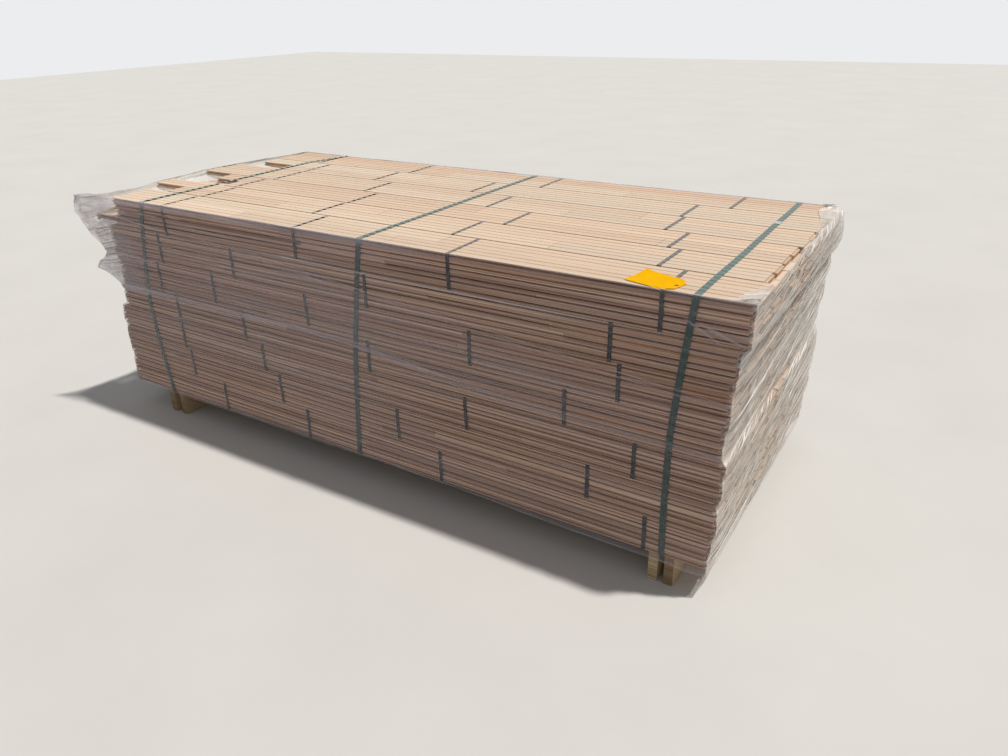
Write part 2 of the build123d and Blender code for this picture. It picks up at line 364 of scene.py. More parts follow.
# %% [markdown]
# ## One board
# Strip flooring has a tongue on one edge, a groove on the other, two relief grooves in its back,
# and a tongue and a groove in its ends too. One closed outline, drawn from end to end with a few
# stations between, makes the whole length. The outline bends a little at each station, as no
# board is dead straight. The end tongue and the end slot are set into the two end faces. Boolean
# cuts could make the grooves, but they are slow on hundreds of boards and leave ragged faces.

# %% Board section
tongue_length = 0.00635
tongue_thickness = 0.006
back_shoulder = 0.0048
groove_depth = 0.0068
groove_slack = 0.0003
relief_width = 0.008
relief_depth = 0.0017
relief_slope = 0.0011
relief_spacing = 0.028
arris = 0.0007
tongue_shown = 0.0042


def board_section(width, height, back_up):
    """Outline of a board as (y, z) from its low front corner, with the groove at the front."""
    face = width - tongue_shown
    low = height - back_shoulder - tongue_thickness
    high = low + tongue_thickness
    points = [(arris, 0), (face - arris, 0), (face, arris), (face, low), (width, low)]
    points += [(width, high), (face, high), (face, height - arris), (face - arris, height)]
    for side in (1, -1):
        middle = face / 2 + side * relief_spacing / 2
        near, far = middle + relief_width / 2, middle - relief_width / 2
        points += [(near, height), (near - relief_slope, height - relief_depth)]
        points += [(far + relief_slope, height - relief_depth), (far, height)]
    slot_low, slot_high = low - groove_slack / 2, high + groove_slack / 2
    points += [(arris, height), (0, height - arris), (0, slot_high), (groove_depth, slot_high)]
    points += [(groove_depth, slot_low), (0, slot_low), (0, arris)]
    inset = 0.0015
    slot = [(groove_depth + inset, low), (face - inset, low)]
    slot += [(face - inset, high), (groove_depth + inset, high)]
    if not back_up:
        points = [(a, height - b) for a, b in reversed(points)]
        slot = [(a, height - b) for a, b in reversed(slot)]
    return points, slot


def end_triangles(outline, hole=()):
    """Triangles that fill an outline, leaving the hole free, all turned the same way."""
    loops = [[Vector((a, b, 0)) for a, b in loop] for loop in (outline, hole) if loop]
    points = [point for loop in loops for point in loop]
    turned = []
    for a, b, c in tessellate_polygon(loops):
        area = (points[b] - points[a]).cross(points[c] - points[a]).z
        if abs(area) > 1e-12:
            turned.append((a, b, c) if area > 0 else (a, c, b))
    return turned


print("a section has", len(board_section(0.0889, 0.01905, True)[0]), "points")


# %% Board mesh
class BoardPile:
    """Boards gathered into one mesh, with each board's own looks on its faces."""

    def __init__(self):
        self.points, self.faces, self.looks, self.piths = [], [], [], []
        self.ends, self.deeps = [], []

    def add_points(self, outline, x, lift=(0.0, 0.0)):
        first = len(self.points)
        self.points += [(x, y + lift[0], z + lift[1]) for y, z in outline]
        return list(range(first, first + len(outline)))

    def add_faces(self, faces, end=0.0, deeps=None):
        self.faces += faces
        self.ends += [end] * len(faces)
        self.deeps += deeps or [0.0] * len(faces)

    def add_board(self, low, high, back_up, draw, bends=0, slot_left=True, tongue_right=True,
                  recess=0.0):
        """One board that fills the box from low to high."""
        before = len(self.faces)
        width, height = high[1] - low[1], high[2] - low[2]
        outline, hole = board_section(width, height, back_up)
        # Faces inside the edge groove are marked deep, for the painted shade that the wood
        # material puts there.
        in_groove = [0.001 < max(a, c) < groove_depth + 0.0001 and 0.001 < b < height - 0.001
                     and 0.001 < d < height - 0.001
                     for (a, b), (c, d) in zip(outline, outline[1:] + outline[:1])]
        deeps = [float(inside) for inside in in_groove]
        outline = [(low[1] + a, low[2] + b) for a, b in outline]
        hole = [(low[1] + a, low[2] + b) for a, b in hole]
        x_end = high[0] - tongue_length if tongue_right else high[0]
        phase = draw.uniform(0, 2 * math.pi)
        waves = draw.uniform(0.6, 1.4)
        rings = []
        for step in range(bends + 2):
            share = step / (bends + 1)
            lift = (0.0, 0.0)
            if bends:
                bow = 0.5 + 0.5 * math.sin(phase + 2 * math.pi * waves * share)
                lift = (recess * (0.5 + 0.5 * bow), 0.0)
            rings.append(self.add_points(outline, low[0] + (x_end - low[0]) * share, lift))
        count = len(outline)
        for near, far in zip(rings, rings[1:]):
            self.add_faces([(near[i], near[(i + 1) % count], far[(i + 1) % count], far[i])
                            for i in range(count)], 0.0, deeps)
        slot = (low[0], low[0] + groove_depth) if slot_left else None
        tongue = (x_end, high[0]) if tongue_right else None
        self.close_end(outline, hole, rings[0], slot, True)
        self.close_end(outline, hole, rings[-1], tongue, False)
        added = len(self.faces) - before
        look = (draw.random(), draw.random(), draw.random())
        angle, reach = draw.uniform(0, 2 * math.pi), draw.uniform(0.04, 0.16)
        pith = (0.0, (low[1] + high[1]) / 2 + reach * math.cos(angle),
                low[2] + reach * math.sin(angle))
        self.looks += [look] * added
        self.piths += [pith] * added

    def close_end(self, outline, hole, ring, stops, leftward):
        """End face, with a slot or a tongue between the two stops where the board has one."""
        faces, cap = [], list(ring)
        if stops:
            near, far = (self.add_points(hole, x) for x in stops)
            cap += near
            faces = [(near[i], near[i - 3], far[i - 3], far[i]) for i in range(4)] + [tuple(far)]
        triangles = end_triangles(outline, hole if stops else ())
        faces = [tuple(cap[i] for i in triangle) for triangle in triangles] + faces
        self.add_faces([face[::-1] if leftward else face for face in faces], 1.0)

    def to_object(self, name, material, replaced):
        mesh = bpy.data.meshes.new(name)
        mesh.from_pydata(self.points, [], self.faces)
        for key, kind, values in (("look", "FLOAT_VECTOR", self.looks),
                                  ("pith", "FLOAT_VECTOR", self.piths),
                                  ("end", "FLOAT", self.ends), ("deep", "FLOAT", self.deeps)):
            attribute = mesh.attributes.new(key, kind, "FACE")
            attribute.data.foreach_set("vector" if kind == "FLOAT_VECTOR" else "value",
                                       np.array(values, np.float32).ravel())
        mesh.materials.append(material)
        return place_piece(name, mesh, replaced)


# %% Put a piece in its place
def place_piece(name, mesh, replaced=()):
    """New object that rides on the stack and stands for the CAD nodes it replaces."""
    piece = bpy.data.objects.new(name, mesh)
    bpy.context.scene.collection.objects.link(piece)
    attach(piece, "root")
    if replaced:
        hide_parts(*replaced)
    return piece


# %% [markdown]
# ## All the bundles
# Every bundle could be one object, but what shows differs: the front and back lines and the top
# layer want bends and butt joints, and the hidden boards want neither. So the boards are grouped
# by where they lie, and each group stands for the bundles it was built from.

# %% Boards of one bundle
courses, rows = 7, 6
joint_gap = 0.0003
joint_slack = 0.0006
bends_shown = 9
recess_shown = 0.0034
bundle_boxes = {}
layer_step = 0.01925


def add_bundle(pile, course, row):
    """Adds a bundle's boards, with bends and looser joints where they show."""
    boxes = solid_boxes(f"bundle_course{course}_row{row}")
    bundle_boxes[course, row] = boxes
    bottom = min(low[2] for low, _ in boxes)
    front = min(low[1] for low, _ in boxes)
    lines = {}
    for low, high in boxes:
        layer = round((low[2] - bottom) / layer_step)
        across = round((low[1] - front) / (high[1] - low[1]))
        lines.setdefault((layer, across), []).append((low, high))
    for (layer, across), boards in sorted(lines.items()):
        draw = random.Random(f"{course} {row} {layer} {across}")
        on_top = course == courses and layer == 5
        outer = (row == 1 and across == 0) or (row == rows and across == 1)
        shown = on_top or outer
        if row == rows and across == 1 and not on_top:
            boards = with_joints(boards[0], draw)
        recess = recess_shown * draw.random() ** 1.6 if row == 1 and across == 0 else 0.0
        for i, (low, high) in enumerate(boards):
            low, high = low.copy(), high.copy()
            first, last = i == 0, i == len(boards) - 1
            low[0] += 0 if first else joint_gap + joint_slack * draw.random()
            high[0] -= 0 if last else joint_gap + joint_slack * draw.random()
            pile.add_board(low, high, layer % 2 == 1, draw, bends_shown if shown else 0,
                           first, last, recess)


def with_joints(box, draw):
    """The same line of boards cut in two or three."""
    low, high = box
    stops = sorted(draw.uniform(0.15, 0.85) for _ in range(draw.choice((1, 2))))
    stops = [low[0], *(low[0] + (high[0] - low[0]) * share for share in stops), high[0]]
    cut = []
    for start, end in zip(stops, stops[1:]):
        near, far = low.copy(), high.copy()
        near[0], far[0] = start, end
        cut.append((near, far))
    return cut


# %% Build the boards
def board_group(name, bundles):
    """One piece that stands for several bundles, given as (course, row)."""
    pile = BoardPile()
    for course, row in bundles:
        add_bundle(pile, course, row)
    replaced = [f"bundle_course{course}_row{row}" for course, row in bundles]
    return pile.to_object(name, hardwood, replaced)


board_pieces = []
for course in range(1, courses + 1):
    board_pieces.append(board_group(f"boards_front_course{course}", [(course, 1)]))
for row in range(2, rows + 1):
    board_pieces.append(board_group(f"boards_top_row{row}", [(courses, row)]))
for course in range(1, courses):
    board_pieces.append(board_group(f"boards_back_course{course}", [(course, rows)]))
    middle = [(course, row) for row in range(2, rows)]
    board_pieces.append(board_group(f"boards_middle_course{course}", middle))
print(len(board_pieces), "board pieces,",
      sum(len(piece.data.polygons) for piece in board_pieces), "faces")

# %% [markdown]
# ## Plastic bands
# Ties and straps are extruded plastic ribbon with a rolled waffle pattern. The band itself is a
# thin closed ribbon that follows a path. Its waffle is far too fine to model, so it is a bump
# made of two crossed waves. Scuffs lift the colour here and there. Where the band lies flat on
# top, a sheen of the light above is painted into its colour, more of it towards the left end.
# Where it dips into a joint, which is kept as a dent, the painted sheen is left out and it is
# dull.


# %% Band materials
def band(name, colour, worn, painted_sheen, waffle, roughness):
    """Rolled plastic, with a painted sheen on top that grows towards the left end of the stack."""
    material, tree = start_material(name)
    place = object_place(tree)
    along_stack = xyz(tree, place)[0]
    dent = mesh_value(tree, "dent")
    scuff = ramp(tree, noise(tree, place, (30.0, 30.0, 30.0), 4.0, 0.7), 0.48, 0.72)
    fine = noise(tree, place, (400.0, 400.0, 400.0), 2.0)
    shade = mix(tree, times(tree, scuff, 0.35), colour, worn)
    # Painted sheen: on faces that look up, the colour is lifted towards the sheen colour, most at
    # the left end and least where the band dips.
    painted_glare = ramp(tree, along_stack, -0.8, 0.5, 0.9, 0.0)
    painted_glare = times(tree, painted_glare, maths(tree, "SUBTRACT", 1.0, dent))
    painted_glare = plus(tree, painted_glare, ramp(tree, along_stack, -0.2, 0.8, 0.0, 0.22))
    upward = ramp(tree, normal_xyz(tree)[2], 0.5, 0.9)
    shade = mix(tree, times(tree, upward, painted_glare), shade, painted_sheen)
    dull = times(tree, dent, ramp(tree, along_stack, -0.2, 0.6, 1.0, 0.1))
    diamonds = []
    for turn in (45, -45):
        turned = add(tree, "Mapping", {"Vector": place, "Rotation": (
            0.0, math.radians(turn), math.radians(turn))}).outputs[0]
        diamonds.append(add(tree, "TexWave", {"Vector": turned, "Scale": waffle},
                            bands_direction="X").outputs["Fac"])
    height = times(tree, *diamonds)
    finish_material(tree, {
        "Base Color": mix(tree, ramp(tree, fine, 0.3, 0.7, 0.0, 0.12), shade, worn),
        "Roughness": ramp(tree, scuff, 0.0, 1.0, roughness, roughness + 0.15),
        "Specular IOR Level": ramp(tree, dull, 0.0, 1.0, 0.42, 0.0),
        "Normal": bump(tree, height, 0.2, 0.00006),
    })
    return material


# The third colour of each band is the colour of its painted sheen.
tie_plastic = band("dark_tie_plastic", tone(24, 24, 30), tone(54, 54, 62),
                   tone(184, 172, 154), 190.0, 0.16)
strap_plastic = band("green_strap_plastic", tone(12, 62, 58), tone(48, 104, 98),
                     tone(140, 168, 156), 120.0, 0.14)
print("band materials", tie_plastic.name, strap_plastic.name)

# %% [markdown]
# ## Ties
# A tie is drawn tight by a machine, yet it never stands quite plumb: it leans, and it kinks where
# it crosses from one board to the next. Each tie is a closed ribbon round its bundle. Its corners
# are rounded by three points each, and the ribbon's two edges wander together by a millimetre. A
# bevelled curve could draw it too, but a plain mesh can keep at each point how deep it dips.


# %% Ribbon builder
def ribbon_mesh(name, path, sides, normals, dents, width, thickness):
    """Closed flat band. path, sides and normals have one vector for each station."""
    points, faces = [], []
    for place, side, normal in zip(path, sides, normals):
        half = side * (width / 2)
        out = normal * thickness
        points += [place - half, place + half, place + half + out, place - half + out]
    count = len(path)
    for i in range(count):
        a, b = 4 * i, 4 * ((i + 1) % count)
        for k in range(4):
            n = (k + 1) % 4
            faces.append((a + k, a + n, b + n, b + k))
    mesh = bpy.data.meshes.new(name)
    mesh.from_pydata([tuple(p) for p in points], [], faces)
    mesh.attributes.new("dent", "FLOAT", "POINT").data.foreach_set("value", np.repeat(dents, 4))
    return mesh


# %% Dips across the top
# Across one board on the top: how far in each relief groove and the joint lie, and how deep a
# band dips there. Then the stations of one dip: distance, share of the depth, and the dent.
board_pitch = 0.0891
dip_places = ((0.0273, 0.0008), (0.0553, 0.0008), (0.0868, 0.0009))
dip_stations = ((0.0098, 0, 0), (0.0078, 0, 1), (0.0015, 1, 1),
                (-0.0015, 1, 1), (-0.0078, 0, 1), (-0.0098, 0, 0))


def top_dips(row_front):
    """Places across one bundle where the boards below leave a groove or a joint."""
    return [(row_front + across * board_pitch + place, depth)
            for across in (0, 1) for place, depth in dip_places]


print(len(top_dips(0.0)), "dips across a bundle")


# %% Stations round a loop
def loop_stations(y0, y1, z0, z1, radius, step, dips=(), corner_points=3):
    """Stations of a rounded rectangle in YZ, as (y, z, normal y, normal z, dent)."""
    stations = []
    corners = ((y1, z0, -90), (y1, z1, 0), (y0, z1, 90), (y0, z0, 180))
    arcs = []
    for y, z, start in corners:
        cy = y - radius if y == y1 else y + radius
        cz = z - radius if z == z1 else z + radius
        arcs.append([(cy, cz, math.radians(start + 90 * k / (corner_points - 1)))
                     for k in range(corner_points)])
    for arc, following in zip(arcs, arcs[1:] + arcs[:1]):
        for cy, cz, angle in arc:
            normal = (math.cos(angle), math.sin(angle))
            stations.append((cy + radius * normal[0], cz + radius * normal[1], *normal, 0.0))
        cy, cz, angle = arc[-1]
        start = (cy + radius * math.cos(angle), cz + radius * math.sin(angle))
        ny, nz, _ = following[0]
        end = (ny + radius * math.cos(angle), nz + radius * math.sin(angle))
        if dips and arc[0][2] == 0:
            for y, depth in sorted(dips, reverse=True):
                if y0 + 0.012 < y < y1 - 0.012:
                    stations += [(y + off, z1 - depth * share, 0.0, 1.0, dent)
                                 for off, share, dent in dip_stations]
            continue
        pieces = max(1, round(math.dist(start, end) / step))
        for k in range(1, pieces):
            share = k / pieces
            stations.append((start[0] + (end[0] - start[0]) * share,
                             start[1] + (end[1] - start[1]) * share,
                             math.cos(angle), math.sin(angle), 0.0))
    return stations


# %% One tie
tie_width = 0.0127
tie_thickness = 0.0006
tie_wander = 0.0009


def tie_mesh(low, high, draw):
    """One tie in the box of its CAD solid."""
    inset = tie_thickness
    dips = top_dips(low[1] + 0.0007) if high[2] > stack_top else ()
    stations = loop_stations(low[1] + inset, high[1] - inset, low[2] + inset, high[2] - inset,
                             0.0012, 0.0193, dips)
    middle = (low[0] + high[0]) / 2
    lean, sway, phase = draw.uniform(-1, 1), draw.uniform(0.3, 1), draw.uniform(0, 6.28)
    path, sides, normals = [], [], []
    for y, z, ny, nz, _ in stations:
        height = (z - low[2]) / (high[2] - low[2]) - 0.5
        shift = tie_wander * (1.6 * lean * height + sway * math.sin(phase + 40 * z + 9 * y))
        path.append(Vector((middle + shift, y, z)))
        sides.append(Vector((1, 0, 0)))
        normals.append(Vector((0, ny, nz)))
    dents = [station[4] for station in stations]
    return ribbon_mesh("tie", path, sides, normals, dents, tie_width, tie_thickness)


# %% Join meshes of one kind
def join_meshes(name, meshes, material):
    """One mesh from several, with the material on all of it."""
    points, faces, dents = [], [], []
    for mesh in meshes:
        first = len(points)
        points += [tuple(v.co) for v in mesh.vertices]
        faces += [tuple(first + i for i in face.vertices) for face in mesh.polygons]
        if "dent" in mesh.attributes:
            dents += [item.value for item in mesh.attributes["dent"].data]
        bpy.data.meshes.remove(mesh)
    joined = bpy.data.meshes.new(name)
    joined.from_pydata(points, [], faces)
    if dents:
        joined.attributes.new("dent", "FLOAT", "POINT").data.foreach_set("value", dents)
    joined.materials.append(material)
    return joined


# %% Build the ties
draw = random.Random(5)
tie_nodes = [f"ties_course{course}" for course in range(1, courses + 1)]
tie_meshes = [tie_mesh(low, high, draw) for node in tie_nodes for low, high in solid_boxes(node)]
place_piece("ties", join_meshes("ties", tie_meshes, tie_plastic), tie_nodes)
print(len(tie_meshes), "ties")

# %% [markdown]
# ## Straps
# The three straps go round everything: over the top, down the front, between the two sleepers of
# a pair and up the back. Their places at the corners are read from the CAD solids. Between those
# places the strap runs in a smooth line, so its bend half way down the front is soft. Straight
# pieces would be simpler, but a strap under tension shows no sharp corner on a flat side.


# %% Where a strap runs
def strap_corners(node):
    """Middle of the strap at the front foot, front middle, front top, back top and its turn."""
    mesh = nodes[node].data
    places = np.array([v.co for v in mesh.vertices])
    front = places[places[:, 1] < places[:, 1].min() + 0.0002]
    back = places[places[:, 1] > places[:, 1].max() - 0.0002]
    low, high = places[:, 2].min(), places[:, 2].max()

    def middle(points, height):
        near = points[np.abs(points[:, 2] - height) < 0.002]
        return (near[:, 0].min() + near[:, 0].max()) / 2

    half_way = (low + high) / 2
    turn = places[(places[:, 2] > high - 0.002) & (np.abs(places[:, 1]) < 0.5)]
    turn_at = (turn[:, 1].mean(), (turn[:, 0].min() + turn[:, 0].max()) / 2)
    return (middle(front, low), middle(front, half_way), middle(front, high),
            middle(back, high), turn_at)


print("the left strap is at x", [round(float(x), 3) for x in strap_corners("strap_left")[:4]])

# %% Build the straps
strap_width = 0.019
strap_thickness = 0.0009


def strap_mesh(name, node):
    """Strap that bends where its CAD solid does."""
    low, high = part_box(node)
    foot, waist, head, back, (turn_y, turn_x) = strap_corners(node)
    inset = strap_thickness
    y0, y1, z0, z1 = low.y + inset, high.y - inset, low.z + inset, high.z - inset
    dips = [dip for row in range(1, rows + 1)
            for dip in top_dips(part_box(f"bundle_course7_row{row}")[0].y)]
    stations = loop_stations(y0, y1, z0, z1, 0.002, 0.02, dips)
    path, sides, normals = [], [], []
    for y, z, ny, nz, _ in stations:
        across = (y - y0) / (y1 - y0)
        up = (z - z0) / (z1 - z0)
        bow = 4 * up * (1 - up)
        curved = foot + (head - foot) * up + bow * (waist - (foot + head) / 2)
        straight = np.interp(up, [0, 0.5, 1], [foot, waist, head])
        front_x = (curved + straight) / 2
        back_x = foot + (back - foot) * up
        x = front_x + (back_x - front_x) * across
        if nz > 0.9:
            x = np.interp([y - 0.03, y, y + 0.03], [y0, turn_y, y1], [head, turn_x, back]).mean()
            x += 0.0012 * math.sin(9 * y + 40 * head) * 4 * across * (1 - across)
        path.append(Vector((x, y, z)))
        normals.append(Vector((0, ny, nz)))
    for i, normal in enumerate(normals):
        along = (path[(i + 1) % len(path)] - path[i - 1]).normalized()
        sides.append(normal.cross(along).normalized() * -1)
    dents = [station[4] for station in stations]
    return ribbon_mesh(name, path, sides, normals, dents, strap_width, strap_thickness)


for place in ("left", "middle", "right"):
    mesh = strap_mesh(f"strap_{place}_band", f"strap_{place}")
    mesh.materials.append(strap_plastic)
    strap = place_piece(f"strap_{place}_band", mesh, [f"strap_{place}"])
    print(strap.name, len(mesh.polygons), "faces")

# %% [markdown]
# ## Seals
# A strap is joined by a steel sleeve that is folded round both ends and crimped. The crimps pinch
# the two long edges, so the sleeve is drawn with a few stations along it, narrower at each pinch.
# A bump could show the crimps as well, but not in the seal's outline.

# %% Seal steel
steel, tree = start_material("crimped_steel")
zinc = noise(tree, object_place(tree), (160.0, 160.0, 160.0), 3.0)
finish_material(tree, {
    "Base Color": mix(tree, ramp(tree, zinc, 0.35, 0.65), tone(176, 180, 184),
                      tone(214, 216, 218)),
    "Metallic": 0.85,
    "Roughness": ramp(tree, zinc, 0.3, 0.7, 0.28, 0.45),
    "Normal": bump(tree, zinc, 0.2, 0.0003),
})
print("seal material", steel.name)

# %% Build the seals
seal_length = 0.032
seal_width = 0.0204
seal_height = 0.0023
seal_wall = 0.0005


def seal_mesh(low, high):
    """Seal in the box of its CAD solid; it lies along Y on the top, or stands on the back."""
    points, faces = [], []
    stations = 17
    middle = (low + high) / 2
    upright = high[2] - low[2] > 0.02
    slant = math.asin(min(0.3, max(0.0, (high[0] - low[0] - seal_width) / seal_length)))
    for i in range(stations):
        share = i / (stations - 1)
        pinch = 0.0011 * max(0.0, math.cos(share * 6 * math.pi)) * (0.1 < share < 0.9)
        run = seal_length * (share - 0.5)
        for inside in (0, 1):
            w = seal_width / 2 - pinch - inside * seal_wall
            h = seal_height / 2 - 0.3 * pinch - inside * seal_wall
            bevel = 0.35 * h
            section = [(-w, -h), (w, -h), (w, h - bevel), (w - bevel, h), (bevel - w, h),
                       (-w, h - bevel)]
            for a, b in section:
                if upright:
                    place = Vector((a * math.cos(slant) + run * math.sin(slant), b,
                                    run * math.cos(slant) - a * math.sin(slant)))
                else:
                    place = Vector((a, run, b))
                points.append(tuple(place + Vector(middle)))
    for i in range(stations - 1):
        for inside in (0, 1):
            a, b = 12 * i + 6 * inside, 12 * (i + 1) + 6 * inside
            for k in range(6):
                n = (k + 1) % 6
                face = (a + k, b + k, b + n, a + n)
                faces.append(tuple(reversed(face)) if inside != upright else face)
    last = 12 * (stations - 1)
    for k in range(6):
        n = (k + 1) % 6
        front, end = (k, n, 6 + n, 6 + k), (last + k, last + 6 + k, last + 6 + n, last + n)
        faces += [tuple(reversed(face)) if upright else face for face in (front, end)]
    mesh = bpy.data.meshes.new("seal")
    mesh.from_pydata(points, [], faces)
    return mesh


seal_meshes = [seal_mesh(low, high) for low, high in solid_boxes("strap_seals")]
place_piece("seals", join_meshes("seals", seal_meshes, steel), ["strap_seals"])
print(len(seal_meshes), "seals")

# %% [markdown]
# ## Sleepers
# The sleepers are rough softwood sawn on edge. The saw leaves each face a little wavy and the
# corners blunt, so a plain block is cut into stations and every corner moved by up to half a
# millimetre. A displacement could make it rough too, but it would move the faces that seat.


# %% Build the sleepers
def sleeper_piece(node, draw):
    """Sawn block in the box of its CAD solid, flat where it stands and where it carries."""
    low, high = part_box(node)
    blunt = 0.0016
    section = [(low.x + blunt, low.z), (high.x - blunt, low.z), (high.x, low.z + blunt),
               (high.x, high.z - blunt), (high.x - blunt, high.z), (low.x + blunt, high.z),
               (low.x, high.z - blunt), (low.x, low.z + blunt)]
    middle_x = (low.x + high.x) / 2
    points, faces, ends = [], [], []
    stations = 40
    for i in range(stations):
        y = low.y + (high.y - low.y) * i / (stations - 1)
        for x, z in section:
            inward = 0.0006 * draw.random() * (1 if x < middle_x else -1)
            on_floor = z < low.z + 0.0001 or z > high.z - 0.0001
            lift = 0.0 if on_floor else 0.0003 * draw.uniform(-1, 1)
            points.append((x + inward, y, z + lift))
    for i in range(stations - 1):
        for k in range(8):
            n = (k + 1) % 8
            faces.append((8 * i + k, 8 * (i + 1) + k, 8 * (i + 1) + n, 8 * i + n))
            ends.append(0.0)
    faces += [tuple(range(8)), tuple(reversed(range(8 * stations - 8, 8 * stations)))]
    ends += [1.0, 1.0]
    mesh = bpy.data.meshes.new(node + "_sawn")
    mesh.from_pydata(points, [], faces)
    look = (draw.random(), draw.random(), draw.random())
    pith = (middle_x + draw.uniform(-0.03, 0.03), 0.0, draw.uniform(-0.04, 0.14))
    for key, kind, value in (("look", "FLOAT_VECTOR", look), ("pith", "FLOAT_VECTOR", pith)):
        attribute = mesh.attributes.new(key, kind, "FACE")
        attribute.data.foreach_set("vector", np.tile(np.array(value, np.float32), len(faces)))
    mesh.attributes.new("end", "FLOAT", "FACE").data.foreach_set("value", ends)
    mesh.materials.append(softwood)
    return place_piece(node + "_sawn", mesh, [node])


sleepers = [sleeper_piece(f"sleeper_{side}_{which}", draw)
            for side in ("left", "right") for which in ("outer", "inner")]
print(len(sleepers), "sleepers")

# %% [markdown]
# ## Tag
# The tag is yellow card with a reinforced eyelet. Card that dries lifts at its corners, and
# this one has slid to the front, where it droops over the edge. The outline is filled first, then
# sliced into a fine grid, so that it can be bent like a real sheet.

# %% Tag card
tag_card, tree = start_material("yellow_card")
place = object_place(tree)
speckle = noise(tree, place, (900.0, 900.0, 900.0), 2.0)
blotch = noise(tree, place, (25.0, 25.0, 25.0), 3.0)
yellow = mix(tree, ramp(tree, blotch, 0.3, 0.7), tone(246, 180, 0), tone(252, 193, 2))
yellow = mix(tree, ramp(tree, speckle, 0.4, 0.7, 0.0, 0.12), yellow, tone(238, 168, 0))
finish_material(tree, {
    "Base Color": mix(tree, mesh_value(tree, "ring"), yellow, tone(196, 112, 78)),
    "Roughness": 0.6,
    "Specular IOR Level": 0.03,
    "Normal": bump(tree, speckle, 0.15, 0.0002),
})
print("tag material", tag_card.name)

# %% Tag outline
tag_low, tag_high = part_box("tag")
tag_size = (0.143, 0.102)
tag_clip = 0.026
tag_hole = 0.0035
ring_radius = 0.0065
tag_cell = 0.006
tag_turn = math.radians(-14)
tag_slid = (0.006, -0.022)
tag_thickness = 0.0004
tag_middle = (tag_low + tag_high) / 2


def tag_mesh():
    """Flat card outline with its hole, sliced into cells and round the eyelet's ring."""
    long, wide = tag_size[0] / 2, tag_size[1] / 2
    outline = [(-long, -wide), (long - tag_clip, -wide), (long, tag_clip - wide),
               (long, wide - tag_clip), (long - tag_clip, wide), (-long, wide)]
    centre = long - tag_clip / 2
    hole = [(centre + tag_hole * math.cos(2 * math.pi * k / 16),
             tag_hole * math.sin(2 * math.pi * k / 16)) for k in range(16)]
    work = bmesh.new()
    corners = [work.verts.new((a, b, 0)) for a, b in outline + hole]
    for triangle in end_triangles(outline, hole):
        work.faces.new([corners[i] for i in triangle])
    for axis, reach in ((0, long), (1, wide)):
        for cut in np.arange(-reach + tag_cell, reach, tag_cell):
            at, across = [0, 0, 0], [0, 0, 0]
            at[axis], across[axis] = cut, 1
            everything = work.verts[:] + work.edges[:] + work.faces[:]
            bmesh.ops.bisect_plane(work, geom=everything, plane_co=at, plane_no=across)
    for k in range(12):
        angle = 2 * math.pi * k / 12
        outward = (math.cos(angle), math.sin(angle), 0)
        at = (centre + ring_radius * outward[0], ring_radius * outward[1], 0)
        near = [f for f in work.faces if (f.calc_center_median() - Vector(at)).length < 0.02]
        parts = near + list({e for f in near for e in f.edges})
        parts += list({v for f in near for v in f.verts})
        bmesh.ops.bisect_plane(work, geom=parts, plane_co=at, plane_no=outward)
    mesh = bpy.data.meshes.new("tag_card")
    work.to_mesh(mesh)
    work.free()
    return mesh, centre


def tag_lift(a, b):
    """How far the curled card stands off the boards at a place on it."""
    left = max(0.0, -a / (tag_size[0] / 2)) ** 2
    right = max(0.0, a / (tag_size[0] / 2)) ** 2
    side = b / (tag_size[1] / 2)
    return 0.0050 * left * max(0, side) + 0.0026 * right * side * side + 0.0008 * side ** 2


# %% Build the tag
mesh, centre = tag_mesh()
on_ring = [float(math.dist(f.center[:2], (centre, 0)) < 0.0062) for f in mesh.polygons]
mesh.attributes.new("ring", "FLOAT", "FACE").data.foreach_set("value", on_ring)
turned = [(v.co.x * math.cos(tag_turn) - v.co.y * math.sin(tag_turn),
           v.co.x * math.sin(tag_turn) + v.co.y * math.cos(tag_turn)) for v in mesh.vertices]
off_x, off_y = ((min(values) + max(values)) / 2 for values in zip(*turned))
for vertex, (x, y) in zip(mesh.vertices, turned):
    x += tag_middle.x + tag_slid[0] - off_x
    y += tag_middle.y + tag_slid[1] - off_y
    past_edge = max(0.0, stack_front + 0.004 - y)
    z = tag_low.z + 0.0003 + tag_lift(vertex.co.x, vertex.co.y) - 0.9 * past_edge
    vertex.co = (x, y + 0.35 * past_edge, z)
mesh.materials.append(tag_card)
tag_piece = place_piece("yellow_tag", mesh, ["tag"])
solid = tag_piece.modifiers.new("thickness", "SOLIDIFY")
solid.thickness = tag_thickness
solid.offset = 1.0
print("tag has", len(mesh.polygons), "faces")

# %% [markdown]
# ## Stretch film
# The film comes off a roll half a metre wide, so two windings cover the height and overlap in a
# milky band, and a last turn ends near the top. Film under tension touches only what stands out,
# so its line across an end is the taut line round the board ends at that level. Folds push it
# outward from there. How cloudy it is at each place is kept on the grid, because doubled, folded
# and bunched film all look whiter. A cloth simulation suits what hangs. Film wound this tight
# doesn't, and a skin that is worked out comes out the same each time.


# %% Noise for folds
def smooth_noise(u, v, seed):
    """Soft noise from 0 to 1 on a plane."""
    numbers = np.random.default_rng(seed).random((97, 89))
    cell_u, cell_v = np.floor(u).astype(int), np.floor(v).astype(int)
    part_u, part_v = u - cell_u, v - cell_v
    part_u, part_v = part_u ** 2 * (3 - 2 * part_u), part_v ** 2 * (3 - 2 * part_v)

    def at(i, j):
        return numbers[(cell_u + i) % 97, (cell_v + j) % 89]

    near = at(0, 0) * (1 - part_u) + at(1, 0) * part_u
    far = at(0, 1) * (1 - part_u) + at(1, 1) * part_u
    return near * (1 - part_v) + far * part_v


def ridges(u, v, seed, sharp=3.0):
    """Thin raised lines where the noise crosses its middle."""
    return (1 - np.abs(2 * smooth_noise(u, v, seed) - 1)) ** sharp


